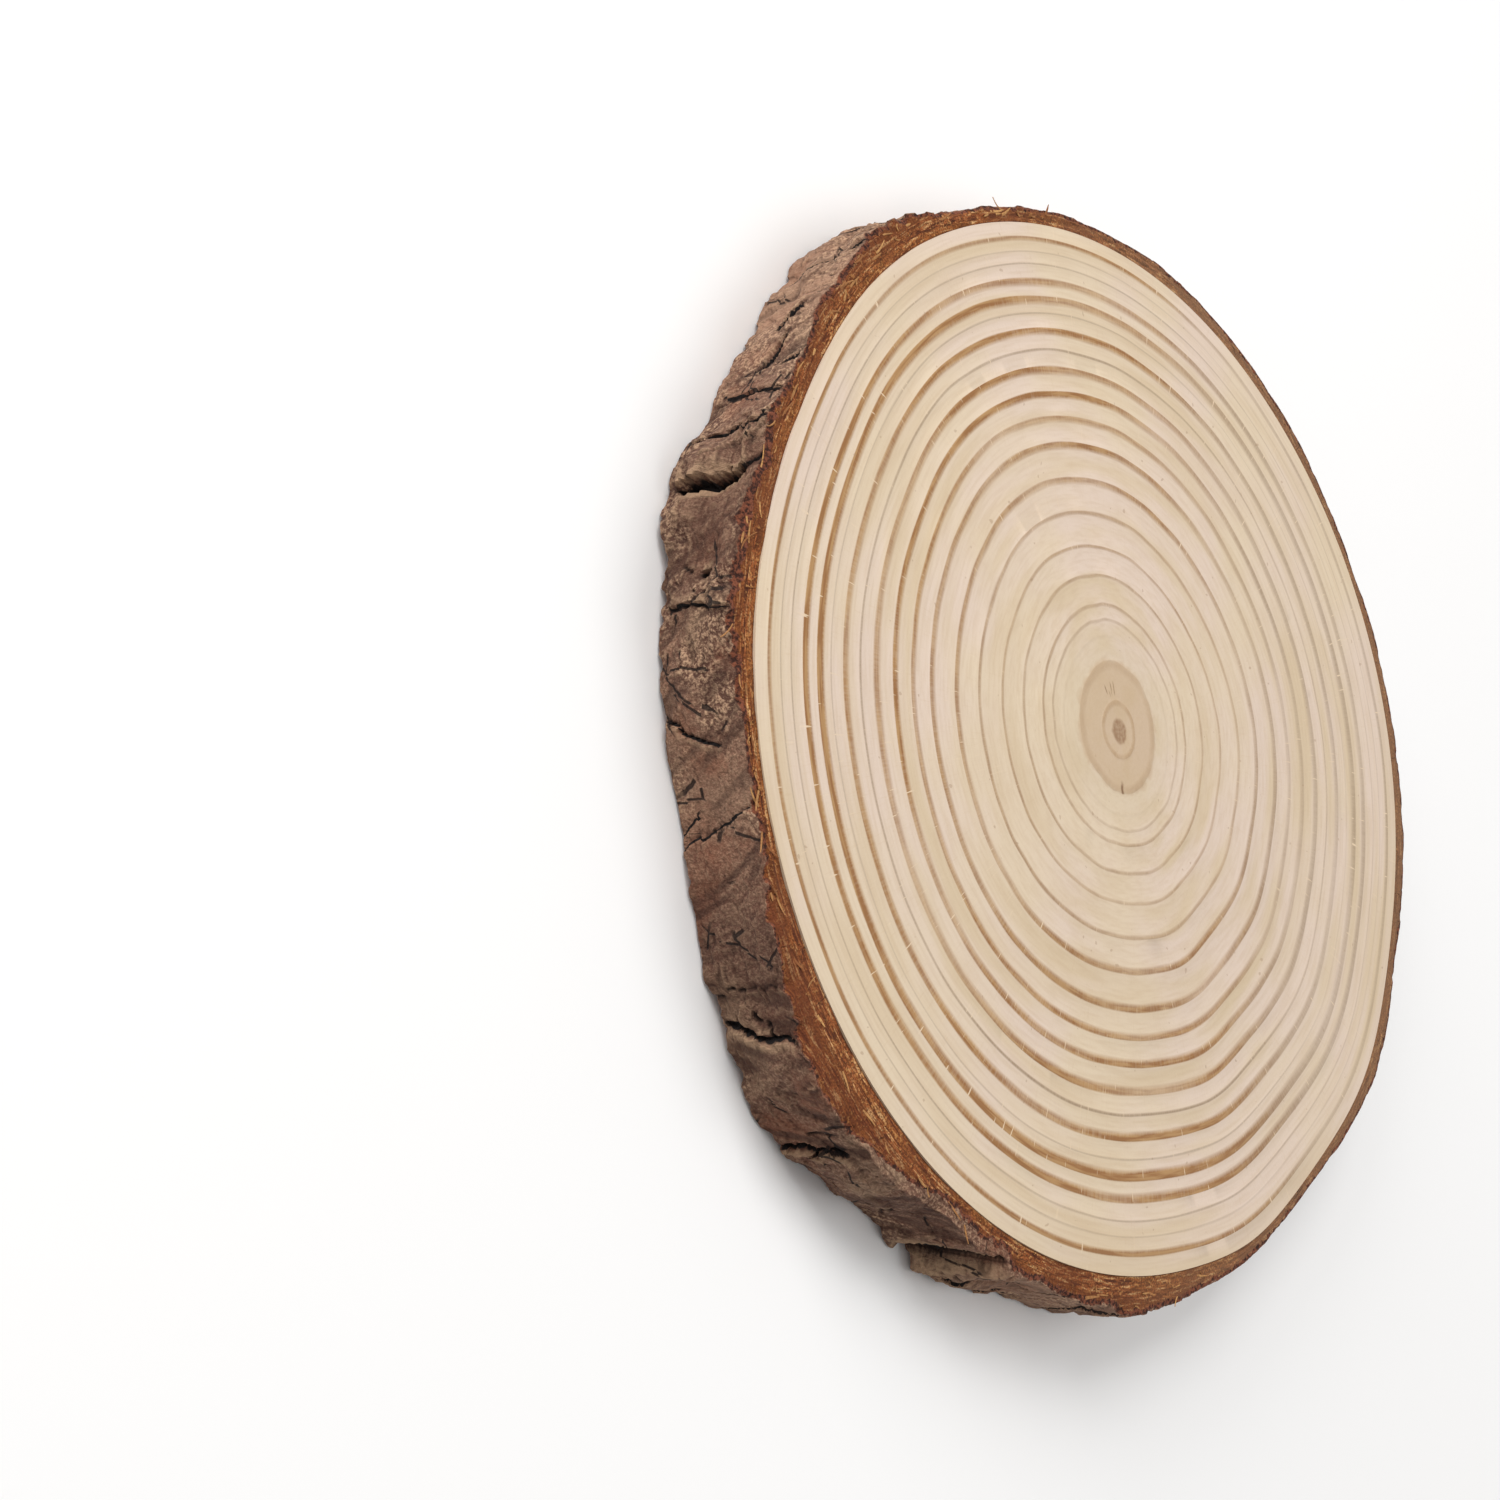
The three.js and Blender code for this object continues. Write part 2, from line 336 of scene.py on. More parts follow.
growth_lines, rays, pale_rays, yearly = (
    add_node(
        pine, "ShaderNodeTexNoise",
        inputs={"Vector": along_rings(per_direction, per_mm), "Scale": 1.0, "Detail": detail},
    ).outputs["Fac"]
    for per_direction, per_mm, detail in (
        (9.0, 2.6, 2.0),  # fine growth lines along the rings, 0.4 mm apart
        (210.0, 0.5, 2.0),  # rays across them, a few tenths of a mm wide
        (200.0, 0.42, 0.0),  # the few rays that stand out pale
        (1.5, 0.33, 1.0),  # years that grew yellower
    )
)
clouds, pores, specks, fraying = (
    add_node(
        pine, "ShaderNodeTexNoise", inputs={"Vector": wood_place, "Scale": per_mm / MM, "Detail": detail}
    ).outputs["Fac"]
    for per_mm, detail in (
        (0.055, 2.0),  # cloudy yellow and pink parts of the sapwood, about 20 mm across
        (2.5, 2.0),  # pores and sanding marks, about 0.4 mm, the finest that show
        (1.3, 0.0),  # specks, 0.8 mm apart
        (0.42, 2.0),  # the heart's frayed edge, in tatters of about 2 mm
    )
)
SMOOTH_RANGE = {"interpolation_type": "SMOOTHSTEP"}
cut_by_rays = add_node(
    pine, "ShaderNodeMapRange", SMOOTH_RANGE,
    {"Value": rays, "From Min": 0.3, "From Max": 0.7, "To Min": 1.05, "To Max": 0.82},
).outputs["Result"]
band = add_node(pine, "ShaderNodeMath", {"operation": "MULTIPLY"}, {0: latewood, 1: cut_by_rays}).outputs[0]
shown_on_band = add_node(
    pine, "ShaderNodeMapRange", SMOOTH_RANGE,
    {"Value": band, "From Min": 0.0, "From Max": 0.5, "To Min": 0.3, "To Max": 0.85},
).outputs["Result"]
tatters = add_node(
    pine, "ShaderNodeMapRange", SMOOTH_RANGE,
    {"Value": fraying, "From Min": 0.3, "From Max": 0.7, "To Min": -0.45, "To Max": 0.45},
).outputs["Result"]
frayed = add_node(pine, "ShaderNodeMath", {"operation": "ADD"}, {0: years, 1: tatters}).outputs[0]
pith_depth = add_node(
    pine, "ShaderNodeMapRange", SMOOTH_RANGE,
    {"Value": pores, "From Min": 0.3, "From Max": 0.7, "To Min": 0.6, "To Max": 0.95},
).outputs["Result"]

pale = coated(
    pine, "#DECAAE",
    (clouds, 0.35, 0.65, 1.0, "#DFCAB8"),
    (yearly, 0.4, 0.75, 1.0, "#D6C0A1"),
    (growth_lines, 0.35, 0.75, 0.22, "#BFA27F"),
    (rays, 0.55, 0.8, 0.20, "#C9AC88"),
)
band_colour = coated(pine, "#B38A5A", (growth_lines, 0.35, 0.65, 1.0, "#966739"), (greyness, "#94806A"))
end_grain = coated(
    pine, pale,
    (band, band_colour),
    (pale_rays, 0.79, 0.82, shown_on_band, "#E8D0B0"),
    (specks, 0.83, 0.86, 0.4, "#A08062"),
    (years, 12.5, 7.1, 0.35, "#CDBB9D"),  # a halo round the heart
    (frayed, 7.7, 6.7, 0.5, "#BF9F7C"),  # the heart
    (years, 1.6, 1.1, pith_depth, "#997656"),  # the pith
    # painted shade in the drying crack, and the scuffs' own darker colour
    (crack_shade_and_scuffs, "#866649"),
)
sanded = add_node(pine, "ShaderNodeBump", inputs={"Height": pores, "Strength": 0.2, "Distance": 0.1 * MM})
give_finish(wood, pine, {
    "Base Color": end_grain, "Roughness": PINE_ROUGHNESS, "IOR": PINE_IOR,
    "Normal": sanded.outputs["Normal"],
})
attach(wood, "root")
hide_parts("wood")


# Bark. One ring grown round the wood: thin fibrous rust-brown inner bark against it, and outside that
# the dry outer bark, in layers that flake off as scales and leave steps, cracks and grainy patches.
BARK_COLUMNS = 1380
RIM_ROWS = 50
FRONT_CUT_ROWS = 12
BACK_CUT_ROWS = 6
CUT_SETBACK = 0.10  # mm, the cut bark lies this far below the sanded wood
THINNEST = 0.6  # mm
# Scales whose free edge runs across the rim: the edge's direction in degrees at the back and at the
# front, then in mm how high it stands, how long the scale is (negative: it points clockwise), how deep
# and how wide the crack under its edge is, which is painted black as shade, and between which heights
# it runs, tapering to its ends
SCALES = (
    (161.3, 158.0, 0.9, -9.0, 1.4, 0.75, 1.4, 7.6), (164.2, 157.0, 0.2, -4.0, 0.5, 0.22, 7.2, 9.4),
    (155.6, 153.7, 0.3, -6.0, 0.6, 0.22, 0.6, 9.4), (150.3, 150.3, 0.3, -4.0, 0.5, 0.22, 2.0, 9.2),
    (157.0, 136.0, 0.3, -3.0, 0.6, 0.4, 4.6, 6.5), (155.2, 145.4, 0.2, -3.0, 0.5, 0.25, 7.9, 9.3),
    (144.7, 137.3, 0.3, -4.0, 0.5, 0.24, 4.4, 7.2), (168.4, 169.3, 0.2, -3.0, 0.9, 0.5, 5.3, 6.9),
    (170.6, 172.6, 0.4, -4.0, 0.7, 0.22, 1.0, 9.4), (180.5, 185.0, 0.7, 8.0, 0.6, 0.25, 0.5, 6.5),
    (192.0, 188.5, 0.5, 6.0, 0.4, 0.2, 0.0, 9.5), (205.8, 208.3, 0.5, 10.0, 0.9, 0.28, 0.2, 9.0),
    (218.0, 221.3, 0.6, 9.0, 1.0, 0.30, 0.0, 7.6), (236.9, 241.8, 0.3, 12.0, 1.1, 3.4, 0.5, 9.1),
    (226.5, 229.0, 0.4, -5.0, 0.4, 0.2, 0.0, 6.0),
)
OTHER_SCALES = 78
CALM_PART = (138, 245)  # degrees, where few others lie among the scales above
CHANGE_OF_WAY = 187  # degrees; the other scales mostly point clockwise before it and the other way past it
# How far the bark's wrinkles lean round the rim, in mm per mm of height, at directions in degrees
WRINKLE_LEAN = ((60, -0.2), (100, -0.55), (190, -0.55), (210, 0.25), (236, 0.6), (262, 0.6), (300, 0.0))
# Painted light and shade round the rim: how much paler (above 0) or darker the outer bark is painted, at
# directions in degrees, for how much light falls on each part
PAINTED_RIM_LIGHT = (
    (100, 0.5), (136, 1.0), (150, 0.2), (157, -0.3), (167, -1.0), (176, -0.1), (187, 0.6), (199, -0.9),
    (212, 0.0), (236, 0.1), (248, 0.7), (262, 0.5), (300, 0.0),
)
# How much of the front cut the grey outer bark and then the dark red layer under it take, in mm, at
# directions in degrees
CUT_LAYERS = (
    (100, 0.0, 0.3), (137, 0.0, 0.5), (150, 0.0, 0.4), (157, 0.0, 1.0), (166, 0.0, 1.1), (173, 0.0, 0.8),
    (180, 0.0, 0.4), (205, 0.0, 0.2), (217, 0.1, 0.3), (223, 1.3, 0.3), (238, 1.3, 0.4), (245, 0.1, 0.6),
    (262, 0.1, 0.5), (300, 0.0, 0.3),
)
CLEAR_OF_CHIPS = 1.0  # mm from the sawn faces, nearer than which the solid's rim isn't followed
JOG = 0.40  # mm, size of the steps in a torn edge
LAYER_HEIGHT = 0.17  # mm, how high a torn layer's edge stands
WINDING_DEPTH = 0.30  # mm, of the long winding cracks
WRINKLE_HEIGHT = 0.09  # mm
PIT_DEPTH = 0.05  # mm, of the pits between the grains
LEAST_CHIP, MOST_CHIP = 0.25, 0.8  # mm, how far the rim's sawn corners are broken back

rim_part = np.arange(RIM_ROWS + 1) / RIM_ROWS
front_part = 1 - (np.arange(1, FRONT_CUT_ROWS + 1) / FRONT_CUT_ROWS) ** 1.25
back_part = np.arange(BACK_CUT_ROWS + 1) / BACK_CUT_ROWS
bark = flat_grid("bark_ring", len(rim_part) + len(front_part) + len(back_part), BARK_COLUMNS + 1)

angle = np.linspace(0, 2 * math.pi, BARK_COLUMNS + 1)
degrees = np.degrees(angle)
aim = np.stack([np.cos(angle), np.sin(angle)], -1)
girth = aim * MEAN_RADIUS
thick = front_z - back_z
height = rim_part[:, None] * thick + np.zeros_like(angle)
spot = on_cylinder(np.broadcast_to(girth, (*height.shape, 2)), height)
around = angle * MEAN_RADIUS

# The solid's rim, felt for inwards from well outside it
FEELER = 0.1  # metres from the pith
cad_tree = BVHTree.FromObject(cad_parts["bark"], bpy.context.evaluated_depsgraph_get())
inside = np.interp(angle, edge_angles, edge_radii, period=2 * math.pi)
solid = np.empty_like(height)
for row in range(RIM_ROWS + 1):
    level = min(max(height[row, 0], CLEAR_OF_CHIPS), thick - CLEAR_OF_CHIPS)
    for column, way in enumerate(aim):
        start = Vector((PITH.x + way[0] * FEELER, PITH.y + way[1] * FEELER, (back_z + level) * MM))
        hit = cad_tree.ray_cast(start, Vector((-way[0], -way[1], 0)))[0]
        solid[row, column] = math.hypot(hit.x - PITH.x, hit.y - PITH.y) / MM


def blurred(values, columns, rows):
    """The mean over so many columns and rows to either side; the columns run on round the ring."""
    ring = np.pad(values[:, :-1], ((rows, rows), (0, 0)), mode="edge")
    ring = sum(np.roll(ring, step, 1) for step in range(-columns, columns + 1)) / (2 * columns + 1)
    last = len(ring) - rows
    ring = sum(ring[rows + step:last + step] for step in range(-rows, rows + 1)) / (2 * rows + 1)
    return np.concatenate([ring, ring[:, :1]], 1)


# The solid's facets are softened, and the flat plates above the overlapping scale and the thin bark of
# the other side more so
flat_part = smooth_step(np.abs(degrees - 214), 20, 14)
thin_side = smooth_step(np.cos(angle), -0.3, 0.1)
by_scale = smooth_step(np.abs(degrees - 239), 8, 5)
soft = blurred(solid, 4, 2)
softer = blurred(solid, 14, 6)
soft = soft + (softer - soft) * flat_part
soft = soft + (blurred(solid, 30, 8) - soft) * thin_side
solid = soft + (solid - soft) * by_scale

# The torn edges jog: the surface is looked up through a blocky shift
blocks = lattice_value(np.floor(spot / (2.6, 2.6, 2.1)).astype(np.int64), 21)
shift = JOG * blocks + 0.2 * noise_at(spot / 1.0, 22) + 0.6 * noise_at(spot / 4.0, 23)
relief = np.zeros_like(height)
# The nearest crack at each place: how far away it is, its side (-1 to 1 inside it) and its strength,
# which sets how much painted shade fills it
FAR = 9.0
crack_away = np.full_like(height, FAR)
crack_side = np.full_like(height, FAR)
crack_strength = np.zeros_like(height)
lean_at, leans = np.array(WRINKLE_LEAN).T
chance = np.random.default_rng(8)
scales = list(SCALES)
for number in range(OTHER_SCALES):
    foot = 360 * (number + chance.uniform(0, 0.9)) / OTHER_SCALES
    if CALM_PART[0] < foot < CALM_PART[1] and chance.uniform() < 0.6:
        continue
    middle, half = chance.uniform(0, thick), chance.uniform(1.2, 5.5)
    lean = math.degrees(np.interp(foot, lean_at, leans, period=360) * thick / MEAN_RADIUS)
    head, lift = foot + lean + chance.normal(0, 2.5), chance.uniform(0.1, 0.5)
    length = math.copysign(chance.uniform(3, 9), foot - CHANGE_OF_WAY) * chance.choice((1, 1, 1, -1))
    depth, width = chance.uniform(-0.1, 0.5), chance.uniform(0.12, 0.28)
    scales.append((foot, head, lift, length, depth, width, middle - half, middle + half))
whole = 2 * math.pi * MEAN_RADIUS
for foot, head, lift, length, depth, width, low_end, high_end in scales:
    line = np.radians(foot + (head - foot) * height / thick) * MEAN_RADIUS
    lean = math.radians(head - foot) * MEAN_RADIUS / thick
    along = np.clip((height - low_end) / (high_end - low_end), 0, 1)
    past = (around - line + shift * min(1, 0.5 / width) + whole / 2) % whole - whole / 2
    past = past * math.copysign(1, length) / math.hypot(1, lean)
    ends = smooth_step(height + 0.6 * shift, low_end - 0.5, low_end + 0.3)
    ends *= smooth_step(height + 0.6 * shift, high_end + 0.5, high_end - 0.3)
    scale = np.where(past > 0, 1 - smooth_step(past, 0, abs(length)), 0)
    width = width * (0.35 + 0.65 * np.sin(math.pi * along) ** 0.5)
    gap = smooth_step(np.abs(past + width / 2), width / 2 + 0.16, width / 2 - 0.05)
    groove = max(depth, 0) * np.minimum(width / 0.45, 1)
    relief += ends * (lift * scale - groove * gap)
    side = (past + width / 2) / (width / 2 + 0.05)
    away = (np.abs(side) - 1) * (width / 2 + 0.05)
    strength = ends * smooth_step(away, 0.9, 0.5) * min(max(depth, 0) / 0.3, 1)
    nearer = (away < crack_away) & (strength > 0.02)
    crack_away = np.where(nearer, away, crack_away)
    crack_side = np.where(nearer, np.clip(side, -FAR, FAR), crack_side)
    crack_strength = np.where(nearer, strength, crack_strength)

# Thin layers, torn off one over another in patches of about 7 mm
layer = 3.2 * noise_at((spot + 0.5 * blocks[..., None]) / (7.0, 7.0, 4.0), 24, 2)
lower = np.floor(layer)
riser = layer - lower
relief += LAYER_HEIGHT * (lower + 0.25 * riser)
# at the foot of each step the bark is painted dark, as shade
painted_step_shade = smooth_step(riser, 0.86, 0.97)
# Long winding cracks, each a contour of a slow field, broken up by another. They are cut in, and the
# material paints them near-black as their shade
contour = np.abs(noise_at((spot + 0.8 * blocks[..., None]) / (6.5, 6.5, 9.0), 25))
winding = smooth_step(contour, 0.035, 0.012) * smooth_step(noise_at(spot / 6.0, 26), 0.05, 0.25)
relief -= WINDING_DEPTH * winding
# Fine wrinkles that run obliquely across the rim, 0.9 mm apart
slant = np.interp(degrees, lean_at, leans, period=360) * height / MEAN_RADIUS
twisted = np.stack([np.cos(angle - slant), np.sin(angle - slant)], -1) * MEAN_RADIUS
wrinkles = noise_at(on_cylinder(twisted / 0.9, height / 7.0), 27, 2)
relief += WRINKLE_HEIGHT * wrinkles + PIT_DEPTH * noise_at(spot / 0.6, 30)

# Thin bark has a shallower relief
base = solid - inside
relief *= np.minimum(base / 3.0, 1) * (1 - 0.6 * thin_side)
outside = inside + np.maximum(base + relief, THINNEST)
# how far each place lies below the mean of its surroundings: painted shade in the recesses, and below 0 on
# raised parts, which are painted paler
painted_hollow_shade = np.clip((blurred(outside, 3, 2) - outside) / 0.35, -1, 1)
plate = noise_at((spot + 0.9 * blocks[..., None]) / (7.0, 7.0, 6.0), 28, 2)
grainy = smooth_step(plate - 0.5 * flat_part, -0.12, 0.08)
tone = 0.5 + 0.3 * lattice_value(np.stack([lower, np.floor(plate * 3), lower * 0], -1).astype(np.int64), 29)
tone = tone * (1 - 0.6 * flat_part)
painted_light_degrees, painted_light_levels = np.array(PAINTED_RIM_LIGHT).T
# painted light and shade by direction round the rim, plus the bark's own random tone in lumps of about 5 mm
tone_and_painted_light = np.interp(degrees, painted_light_degrees, painted_light_levels, period=360) + 0.3 * noise_at(spot / 5.0, 37)

# The cuts: the bark's broken outer corner, then in to the wood over fibrous, slightly uneven bark
most_chip = MOST_CHIP * (1 - 0.8 * thin_side)
chip_front = LEAST_CHIP + most_chip * np.clip(noise_at(on_cylinder(girth / 2.2, 0.0), 31, 3), 0, 1)
chip_back = LEAST_CHIP + most_chip * np.clip(noise_at(on_cylinder(girth / 2.2, 9.0), 32, 3), 0, 1)
rim_level = chip_back + rim_part[:, None] * (thick - chip_front - chip_back)


def cut_rows(part, outer, chip, seed):
    """Reach from the pith and depth below the sawn face, in mm, for rows of a cut."""
    part = part[:, None]
    rows = on_cylinder(np.broadcast_to(girth, (len(part), *girth.shape)) / 5.0, part * 6.0)
    fibres = noise_at(rows, seed, 3)
    fall = CUT_SETBACK + 0.10 * (1 + fibres)
    fall = fall * (1 - part ** 4) + np.maximum(chip, fall) * part ** 4
    return inside + (outer - inside) * part, np.where(part > 0.999, chip, fall)


front_reach, front_fall = cut_rows(front_part, outside[-1], chip_front, 33)
back_reach, back_fall = cut_rows(back_part, outside[0], chip_back, 34)
reach = np.concatenate([outside, front_reach, back_reach])
level = np.concatenate([rim_level, thick - front_fall, back_fall]) + back_z
part = np.concatenate([np.ones_like(rim_part), front_part, back_part])[:, None] * np.ones_like(angle)
to_rim = np.concatenate([outside * 0, outside[-1] - front_reach, outside[0] - back_reach])
layer_at, outer_width, red_width = np.array(CUT_LAYERS).T
outer_width = np.interp(degrees, layer_at, outer_width, period=360)
red_width = np.interp(degrees, layer_at, red_width, period=360)
cut = smooth_step(part, 1.0, 0.97)
broken_edge = 0.1 + 0.35 * noise_at(on_cylinder(girth / 1.3, 4.0), 36, 2)
cut[:RIM_ROWS + 1] = smooth_step(height, thick - 0.1 - broken_edge, thick + 0.25 - broken_edge)


def with_cuts(on_rim, on_cuts=0.0):
    """A quantity for every row: its rim rows, then one value all over the two cuts."""
    return np.pad(on_rim, ((0, len(front_part) + len(back_part)), (0, 0)), constant_values=on_cuts)


bark_marks = {
    "crack_side": with_cuts(crack_side, FAR),
    "crack_strength": with_cuts(crack_strength),
    "winding_crack_shade": with_cuts(0.8 * winding),
    "step_foot_shade": with_cuts(0.55 * painted_step_shade),
    "painted_hollow_shade": with_cuts(painted_hollow_shade),
    "grainy": with_cuts(grainy, 0.4),
    "tone": with_cuts(tone, 0.4),
    "tone_and_painted_light": with_cuts(tone_and_painted_light),
    "wrinkles": with_cuts(wrinkles),
    "past_outer": to_rim - outer_width,
    "red_width": red_width * np.ones_like(to_rim),
    "cut": cut,
    "from_wood": reach - inside,
}
for name, values in bark_marks.items():
    mark(bark, name, values)
along_fibres = on_cylinder(np.broadcast_to(aim, (*reach.shape, 2)), reach - inside)
mark(bark, "fibre_space", along_fibres, "FLOAT_VECTOR")
xy = aim * reach[..., None] * MM + np.array(PITH)
rolled_up(bark, np.concatenate([xy, level[..., None] * MM], -1).reshape(-1, 3))

# Dry pine bark is dull and grainy. The eye sees grey-brown weathered scales with black cracks between
# them, and where it is cut the rust-red and golden strands of the inner bark. The black of the cracks
# is painted shade, as is the dark at the foot of steps, in recesses and in wrinkle troughs, and the rim
# is painted lighter or darker by direction as light and shade
BARK_ROUGHNESS = 0.88
BARK_SPECULAR = 0.3
JOG_OF_HAIRLINES = (1.1 * MM,) * 3
rind = new_finish("dry_pine_bark")
marks = {
    name: add_node(rind, "ShaderNodeAttribute", {"attribute_name": name}).outputs["Fac"]
    for name in bark_marks
}
from_wood = marks["from_wood"]
bark_place = add_node(rind, "ShaderNodeTexCoord").outputs["Object"]
bark_x = add_node(rind, "ShaderNodeSeparateXYZ", inputs={"Vector": bark_place}).outputs["X"]
grains, dust, stains, patches, tears, breaks = (
    add_node(
        rind, "ShaderNodeTexNoise",
        inputs={"Vector": bark_place, "Scale": per_mm / MM, "Detail": detail, "Roughness": roughness},
    ).outputs["Fac"]
    for per_mm, detail, roughness in (
        (2.4, 2.0, 0.65),  # grains of 0.4 mm, coarser than the real ones, so that they show
        (4.2, 1.0, 0.5),  # dust in their pits, 0.25 mm
        (0.16, 3.0, 0.5),  # stains 6 mm across
        (0.11, 2.0, 0.5),  # dull patches of the inner bark, 9 mm across
        (0.9, 3.0, 0.6),  # tears of 1 mm along the borders of the layers
        (0.23, 1.0, 0.5),  # breaks in the hairline cracks, every 4 mm
    )
)
fibre_space = add_node(rind, "ShaderNodeAttribute", {"attribute_name": "fibre_space"}).outputs["Vector"]
torn_layers, strands, layers = (
    add_node(rind, "ShaderNodeTexNoise", inputs={
        "Vector": add_node(
            rind, "ShaderNodeVectorMath", {"operation": "MULTIPLY"}, {0: fibre_space, 1: stretch}
        ).outputs["Vector"],
        "Scale": 1.0, "Detail": detail, "Roughness": roughness,
    }).outputs["Fac"]
    for stretch, detail, roughness in (
        ((6.0, 6.0, 4.0), 3.0, 0.6),  # layers about 0.2 mm thick, where a scale is broken across
        ((21.0, 21.0, 3.4), 3.0, 0.65),  # strands 3 mm long and 0.3 mm thick along the ring
        ((3.5, 3.5, 1.4), 2.0, 0.5),  # layers of the inner bark, about 0.7 mm thick
    )
)

# Hairline cracks with square jogs, between plates of about 6 mm, drawn as bumps and painted near-black as the
# shade in them
jogs = add_node(
    rind, "ShaderNodeTexVoronoi", {"distance": "CHEBYCHEV"}, {"Vector": bark_place, "Scale": 0.42 / MM}
).outputs["Color"]
jogged = add_node(
    rind, "ShaderNodeVectorMath", {"operation": "MULTIPLY_ADD"},
    {0: jogs, 1: JOG_OF_HAIRLINES, 2: bark_place},
).outputs["Vector"]
plate_edge = add_node(
    rind, "ShaderNodeTexVoronoi", {"feature": "DISTANCE_TO_EDGE"}, {"Vector": jogged, "Scale": 0.165 / MM}
).outputs["Distance"]
from_crack = add_node(rind, "ShaderNodeMath", {"operation": "ABSOLUTE"}, {0: marks["crack_side"]}).outputs[0]
at_edge, unbroken, in_crack, border_waver, rust_waver = (
    add_node(
        rind, "ShaderNodeMapRange", SMOOTH_RANGE,
        {"Value": value, "From Min": start, "From Max": stop, "To Min": at_start, "To Max": at_stop},
    ).outputs["Result"]
    for value, start, stop, at_start, at_stop in (
        (plate_edge, 0.022, 0.010, 0.0, 1.0),
        (breaks, 0.52, 0.58, 0.0, 0.9),
        (from_crack, 1.05, 0.75, 0.0, 1.0),
        (tears, 0.2, 0.8, -0.35, 0.35),  # mm, how far a torn border on the cut strays
        (layers, 0.3, 0.7, -0.7, 0.7),  # mm, how far the deeper red of the outer strands does
    )
)
hairlines, painted_crack_shade, past_outer, deep_rust = (
    add_node(rind, "ShaderNodeMath", {"operation": operation}, {0: first, 1: second}).outputs[0]
    for operation, first, second in (
        ("MULTIPLY", at_edge, unbroken),
        ("MULTIPLY", in_crack, marks["crack_strength"]),
        ("SUBTRACT", marks["past_outer"], border_waver),
        ("ADD", from_wood, rust_waver),
    )
)
past_red, raised = (
    add_node(rind, "ShaderNodeMath", {"operation": "SUBTRACT"}, {0: first, 1: second}).outputs[0]
    for first, second in ((past_outer, marks["red_width"]), (grains, hairlines))
)

smooth_bark = coated(
    rind, "#67473A",
    (marks["tone"], "#956E58"), (grains, 0.38, 0.62, 0.45, "#AF8E73"), (dust, 0.42, 0.62, 0.55, "#4E3326"),
)
grainy_bark = coated(
    rind, "#5A3C30", (grains, 0.40, 0.60, 1.0, "#B69376"), (dust, 0.45, 0.65, 0.6, "#5E4033")
)
outer_bark = coated(
    rind, smooth_bark,
    (marks["grainy"], grainy_bark),
    (stains, 0.5, 0.75, 0.55, "#7F4C36"),
    (stains, 0.45, 0.25, 0.4, "#A3886C"),
    # painted shade in the troughs of the wrinkles
    (marks["wrinkles"], 0.0, -0.7, 0.65, "#412920"),
    # painted light and shade: paler where the rim is painted as lit, darker where painted as shaded; the
    # random part is the bark's own tone
    (marks["tone_and_painted_light"], 0.0, 1.0, 0.35, "#BC967A"),
    (marks["tone_and_painted_light"], 0.0, -1.0, 0.4, "#482D22"),
    (torn_layers, 0.46, 0.36, 0.6, "#4B2E22"),
    # painted shade in the recesses, and raised parts painted paler
    (marks["painted_hollow_shade"], 0.0, 0.9, 0.9, "#301B14"),
    (marks["painted_hollow_shade"], 0.0, -0.9, 0.45, "#B89878"),
    # painted shade at the foot of each step
    (marks["step_foot_shade"], "#361F17"),
    # painted shade in the hairline cracks
    (hairlines, "#1C100C"),
)
inner_bark = coated(
    rind, "#4A210E",
    (strands, 0.40, 0.53, 1.0, "#98552A"),
    (layers, 0.40, 0.60, 0.45, "#A4662E"),
    (strands, 0.55, 0.64, 0.9, "#D8A871"),
    (dust, 0.45, 0.62, 0.7, "#54290F"),
    (grains, 0.58, 0.68, 0.7, "#C58B50"),
    (patches, 0.45, 0.65, 0.55, "#6E3A1E"),
    (deep_rust, 1.1, 2.6, 0.5, "#5E2B14"),
    (bark_x, -0.02, 0.03, 0.55, "#8E7055"),  # towards +X the bark is thin, dry and greyer
)
red_layer = coated(rind, "#341A12", (grains, 0.38, 0.62, 1.0, "#7C4630"))
cut_bark = coated(
    rind, outer_bark, (past_outer, -0.1, 0.0, 1.0, red_layer), (past_red, -0.04, 0.06, 1.0, inner_bark)
)
whole_bark = coated(
    rind, outer_bark,
    (marks["cut"], cut_bark),
    (from_wood, 0.16, 0.05, 0.6, "#5A3418"),
    # painted shade in the long winding cracks
    (marks["winding_crack_shade"], "#1C110D"),
    # painted shade, near-black, in the cracks under the scales' edges
    (painted_crack_shade, "#120A08"),
)
rough = add_node(rind, "ShaderNodeBump", inputs={"Height": raised, "Strength": 0.9, "Distance": 0.3 * MM})
give_finish(bark, rind, {
    "Base Color": whole_bark, "Roughness": BARK_ROUGHNESS, "Specular IOR Level": BARK_SPECULAR,
    "Normal": rough.outputs["Normal"],
})
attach(bark, "root")
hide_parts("bark")


# Loose fibres. Short strips of dry inner bark that the saw tore up and left curled along the front cut,
# still held to the bark at one end. One strip is made, then bent and laid in many places.
FIBRE_COUNT = 80
FIBRE_WIDTH = 0.24  # mm
FIBRE_THICKNESS = 0.07  # mm
FIBRE_ROOT = 0.05  # mm, how deep the held end is sunk in the bark
FIBRE_CAMBER = 0.04  # mm
STRIP_ROWS, STRIP_COLUMNS = 3, 10
FRAYED_COLUMNS = (350, 1080)  # columns of the bark's grid, all but the thin bark towards +X
FIRST_ROW, LAST_ROW = 2, 8  # rows of the front cut that they lie on, counted from the rim
FIBRE_CREASE = 50  # degrees

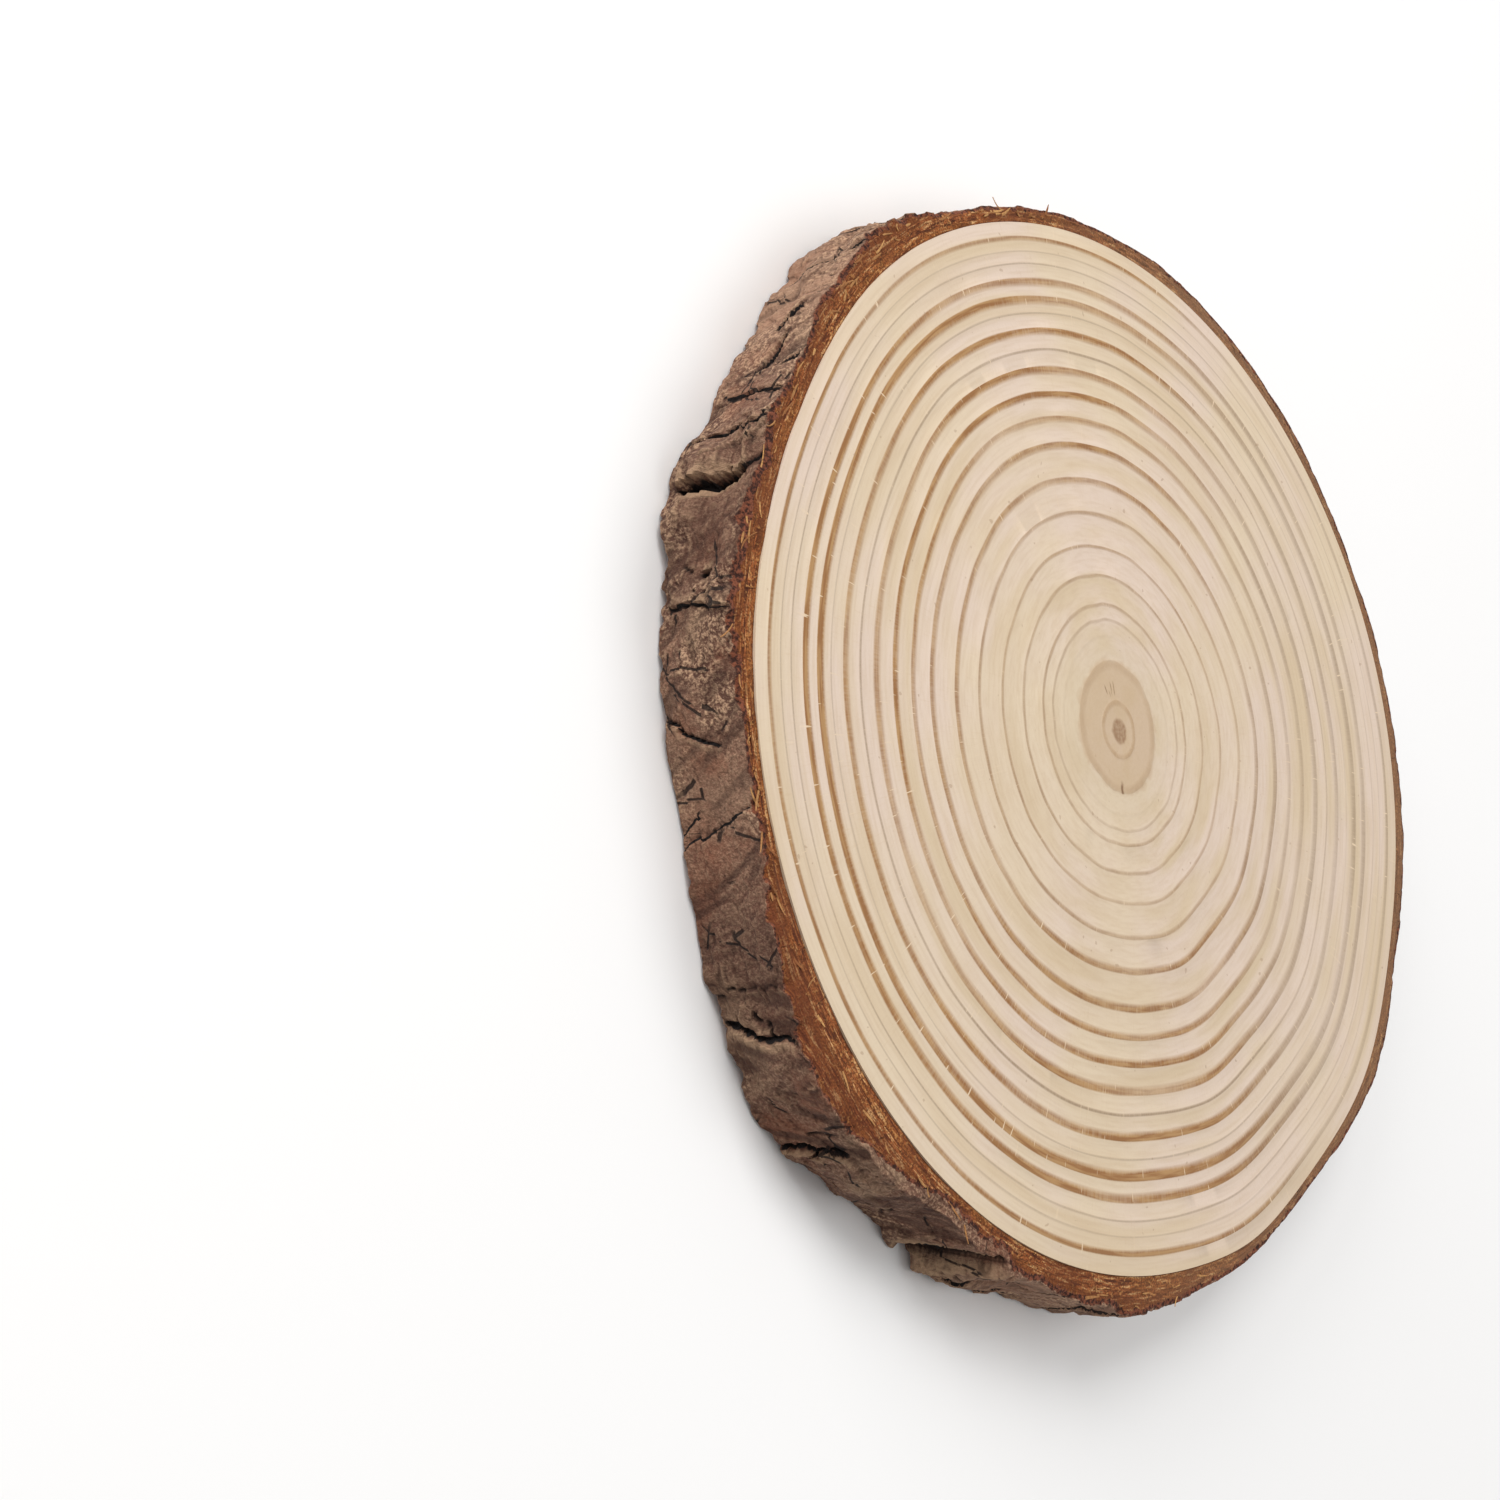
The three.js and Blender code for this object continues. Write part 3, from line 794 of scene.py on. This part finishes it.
strip = flat_grid("fibre_strip", STRIP_ROWS, STRIP_COLUMNS)
along, across = np.meshgrid(np.linspace(0, 1, STRIP_COLUMNS), np.linspace(-1, 1, STRIP_ROWS))
strips = []
for number in range(FIBRE_COUNT):
    row = len(rim_part) + chance.integers(FIRST_ROW, LAST_ROW)
    column = chance.integers(*FRAYED_COLUMNS)
    turn = angle[column] + math.pi / 2 * chance.choice((-1, 1)) + chance.normal(0, 0.3)
    length, curl, wave = chance.uniform(0.7, 2.4), chance.uniform(0.05, 0.45), chance.normal(0, 0.25)
    width = FIBRE_WIDTH * chance.uniform(0.5, 1.3) * (1 - 0.8 * along ** 3)
    run, side = along * length, across * width / 2 + wave * along ** 2 * length
    rise = curl * along ** 2 - FIBRE_ROOT + FIBRE_CAMBER * (1 - across ** 2)
    strip_places = np.stack([
        xy[row, column, 0] / MM + run * math.cos(turn) - side * math.sin(turn),
        xy[row, column, 1] / MM + run * math.sin(turn) + side * math.cos(turn),
        level[row, column] + rise,
    ], -1) * MM
    fibre = strip.copy()
    fibre.data = strip.data.copy()
    bpy.context.scene.collection.objects.link(fibre)
    fibre.data.vertices.foreach_set("co", strip_places.ravel())
    mark(fibre, "dryness", np.full(strip_places.shape[:2], chance.uniform(0, 1)))
    strips.append(fibre)
bpy.data.objects.remove(strip)
bpy.ops.object.select_all(action="DESELECT")
for fibre in strips:
    fibre.select_set(True)
bpy.context.view_layer.objects.active = strips[0]
bpy.ops.object.join()
loose_fibres = bpy.context.object
loose_fibres.name = "loose_fibres"
wall = loose_fibres.modifiers.new("thickness", "SOLIDIFY")
wall.thickness = FIBRE_THICKNESS * MM
wall.offset = 0
bpy.ops.object.modifier_apply(modifier="thickness")
bpy.ops.object.shade_smooth_by_angle(angle=math.radians(FIBRE_CREASE))

# Torn strips of bark fibre are dull, and each has dried to its own shade between rust and straw
FIBRE_ROUGHNESS = 0.8
dry_fibre = new_finish("dry_bark_fibre")
dryness = add_node(dry_fibre, "ShaderNodeAttribute", {"attribute_name": "dryness"}).outputs["Fac"]
fibre_place = add_node(dry_fibre, "ShaderNodeTexCoord").outputs["Object"]
# Streaks of 0.25 mm
streaks = add_node(
    dry_fibre, "ShaderNodeTexNoise", inputs={"Vector": fibre_place, "Scale": 4.0 / MM}
).outputs["Fac"]
straw = coated(dry_fibre, "#8A5226", (dryness, "#C8965A"), (streaks, 0.4, 0.7, 0.5, "#6E3E1C"))
give_finish(loose_fibres, dry_fibre, {"Base Color": straw, "Roughness": FIBRE_ROUGHNESS})
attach(loose_fibres, "root")
